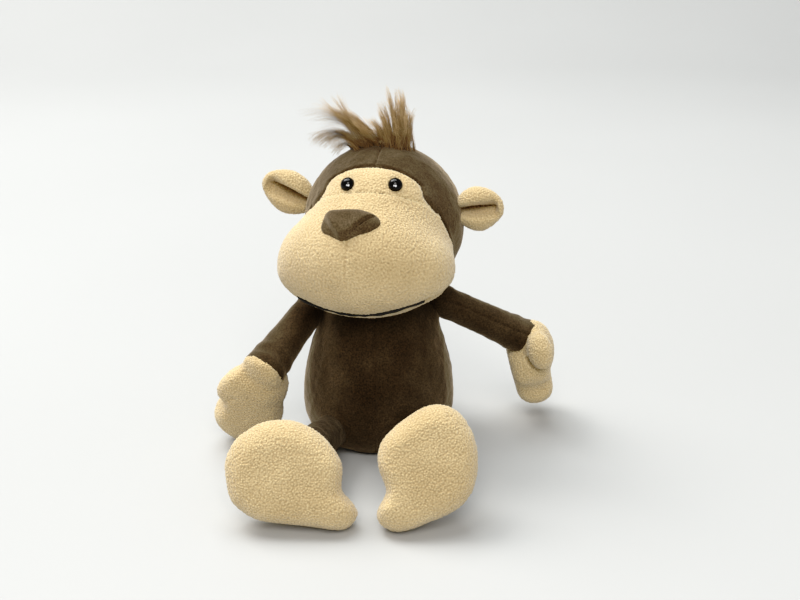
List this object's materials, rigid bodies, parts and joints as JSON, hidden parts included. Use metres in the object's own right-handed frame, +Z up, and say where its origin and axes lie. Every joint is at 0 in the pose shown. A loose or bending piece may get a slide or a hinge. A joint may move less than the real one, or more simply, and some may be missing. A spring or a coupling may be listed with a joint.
{
  "type": "stuffed monkey",
  "caption": "Seated stuffed monkey with velour body, curly fleece face, ears, hands and feet, glossy eyes and a swept hair tuft; its head, limbs, ears and tail move on sewn seams.",
  "frame": {"origin": "centre of the flat seat, on the floor", "axes": "+Z up, the monkey faces -Y, its own left side is +X"},
  "size_m": [0.2405, 0.2476, 0.2468],
  "materials": {
    "brown_velour": "short-pile velour with a soft sheen",
    "beige_fleece": "curly fleece, matt",
    "hair": "long soft fibres",
    "eye": "polished black",
    "washer": "moulded",
    "mouth_cord": "twisted black thread",
    "seam_thread": "strong closing thread",
    "filling": "loose fibre",
    "pouch_cloth": "plain thin cloth",
    "pellets": "loose small pellets"
  },
  "bodies": {
    "torso": {"belly_panel_left": "brown_velour", "belly_panel_right": "brown_velour", "back_panel_left": "brown_velour", "back_panel_right": "brown_velour", "seat_panel": "brown_velour", "torso_stuffing": "filling", "pellet_pouch": "pouch_cloth", "seat_pellets": "pellets"},
    "neck": {"neck_wad": "filling", "neck_seam_thread": "seam_thread"},
    "head": {"hood_left": "brown_velour", "hood_right": "brown_velour", "forehead_panel": "beige_fleece", "muzzle_panel": "beige_fleece", "chin_panel": "beige_fleece", "mouth_cord": "mouth_cord", "nose_cover": "brown_velour", "nose_stuffing": "filling", "eye_left": "eye", "eye_right": "eye", "eye_washer_left": "washer", "eye_washer_right": "washer", "head_stuffing": "filling", "hair_strip": "brown_velour", "hair_tuft": "hair"},
    "tail": {"tail_sleeve": "brown_velour", "tail_stuffing": "filling"},
    "ear_left": {"ear_front_left": "beige_fleece", "ear_back_left": "beige_fleece"},
    "shoulder_left": {"shoulder_wad_left": "filling", "shoulder_thread_left": "seam_thread"},
    "arm_left": {"arm_sleeve_left": "brown_velour", "arm_stuffing_left": "filling"},
    "hand_left": {"hand_palm_left": "beige_fleece", "hand_back_left": "beige_fleece", "hand_stuffing_left": "filling"},
    "hip_left": {"hip_wad_left": "filling", "hip_thread_left": "seam_thread"},
    "leg_left": {"leg_sleeve_left": "brown_velour", "leg_stuffing_left": "filling"},
    "foot_left": {"foot_sole_left": "beige_fleece", "foot_top_left": "beige_fleece", "foot_stuffing_left": "filling"},
    "ear_right": {"ear_front_right": "beige_fleece", "ear_back_right": "beige_fleece"},
    "shoulder_right": {"shoulder_wad_right": "filling", "shoulder_thread_right": "seam_thread"},
    "arm_right": {"arm_sleeve_right": "brown_velour", "arm_stuffing_right": "filling"},
    "hand_right": {"hand_palm_right": "beige_fleece", "hand_back_right": "beige_fleece", "hand_stuffing_right": "filling"},
    "hip_right": {"hip_wad_right": "filling", "hip_thread_right": "seam_thread"},
    "leg_right": {"leg_sleeve_right": "brown_velour", "leg_stuffing_right": "filling"},
    "foot_right": {"foot_sole_right": "beige_fleece", "foot_top_right": "beige_fleece", "foot_stuffing_right": "filling"}
  },
  "joints": [
    {"name": "head_turn", "type": "hinge", "parent": "torso", "child": "neck", "pos_m": [0, 0.004, 0.104], "axis": [0, 0, 1], "range_deg": [-25, 30]},
    {"name": "head_nod", "type": "hinge", "parent": "neck", "child": "head", "pos_m": [0, 0.004, 0.104], "axis": [0.9781, -0.2079, 0], "range_deg": [-12, 4]},
    {"name": "tail_swing", "type": "hinge", "parent": "torso", "child": "tail", "pos_m": [0, 0.0525, 0.022], "axis": [0, 0, 1], "range_deg": [-25, 25]},
    {"name": "ear_left_fold", "type": "hinge", "parent": "head", "child": "ear_left", "pos_m": [0.05486, -0.00581, 0.163], "axis": [0, 0, 1], "range_deg": [-20, 20]},
    {"name": "shoulder_left_swing", "type": "hinge", "parent": "torso", "child": "shoulder_left", "pos_m": [0.042, 0.005, 0.0965], "axis": [-1, 0, 0], "range_deg": [-25, 35]},
    {"name": "shoulder_left_raise", "type": "hinge", "parent": "shoulder_left", "child": "arm_left", "pos_m": [0.042, 0.005, 0.0965], "axis": [0, -1, 0], "range_deg": [-5, 45]},
    {"name": "wrist_left_bend", "type": "hinge", "parent": "arm_left", "child": "hand_left", "pos_m": [0.1, 0.011, 0.067], "axis": [0.0798, -0.9208, -0.3819], "range_deg": [-15, 15]},
    {"name": "hip_left_lift", "type": "hinge", "parent": "torso", "child": "hip_left", "pos_m": [0.031, -0.045, 0.02], "axis": [-1, 0, 0], "range_deg": [-5, 10]},
    {"name": "hip_left_splay", "type": "hinge", "parent": "hip_left", "child": "leg_left", "pos_m": [0.031, -0.045, 0.02], "axis": [0, 0, 1], "range_deg": [-2, 28]},
    {"name": "ankle_left_tip", "type": "hinge", "parent": "leg_left", "child": "foot_left", "pos_m": [0.03, -0.105, 0.037], "axis": [1, 0, 0], "range_deg": [-12, 12]},
    {"name": "ear_right_fold", "type": "hinge", "parent": "head", "child": "ear_right", "pos_m": [-0.04686, 0.01581, 0.163], "axis": [0, 0, 1], "range_deg": [-20, 20]},
    {"name": "shoulder_right_swing", "type": "hinge", "parent": "torso", "child": "shoulder_right", "pos_m": [-0.042, 0.005, 0.0965], "axis": [-1, 0, 0], "range_deg": [-25, 35]},
    {"name": "shoulder_right_raise", "type": "hinge", "parent": "shoulder_right", "child": "arm_right", "pos_m": [-0.042, 0.005, 0.0965], "axis": [0, 1, 0], "range_deg": [-5, 45]},
    {"name": "wrist_right_bend", "type": "hinge", "parent": "arm_right", "child": "hand_right", "pos_m": [-0.075, -0.038, 0.063], "axis": [-0.9382, -0.1276, 0.3217], "range_deg": [-7, 15]},
    {"name": "hip_right_lift", "type": "hinge", "parent": "torso", "child": "hip_right", "pos_m": [-0.031, -0.045, 0.02], "axis": [-1, 0, 0], "range_deg": [-5, 24]},
    {"name": "hip_right_splay", "type": "hinge", "parent": "hip_right", "child": "leg_right", "pos_m": [-0.031, -0.045, 0.02], "axis": [0, 0, -1], "range_deg": [-2, 28]},
    {"name": "ankle_right_tip", "type": "hinge", "parent": "leg_right", "child": "foot_right", "pos_m": [-0.049, -0.105, 0.032], "axis": [1, 0, 0], "range_deg": [-12, 12]}
  ]
}
